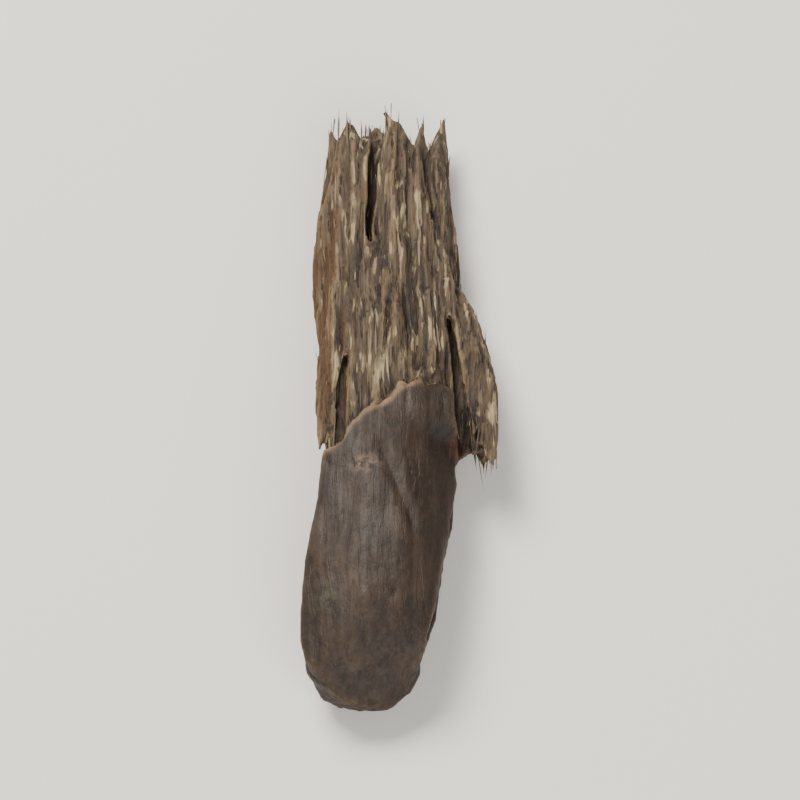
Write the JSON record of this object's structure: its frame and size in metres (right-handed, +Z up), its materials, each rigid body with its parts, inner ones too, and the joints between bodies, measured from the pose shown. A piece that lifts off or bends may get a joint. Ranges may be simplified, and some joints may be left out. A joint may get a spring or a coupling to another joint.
{
  "type": "agarwood chip",
  "caption": "Split chip of resinous agarwood lying flat: a smooth dark knife-cut toe, a ragged ledge, and a torn, splintered fibrous end.",
  "frame": {"origin": "on the plane that the chip rests on, under the middle of its bounding box", "axes": "+Z up from the resting flat; +Y along the grain from the blunt toe to the torn end; +X across the grain, towards the shoulder splinter"},
  "size_m": [0.0114, 0.0388, 0.0064],
  "materials": {
    "agarwood": "satin to matte, streaked with dark resin"
  },
  "bodies": {
    "root": {"agarwood_chip": "agarwood"}
  },
  "joints": []
}
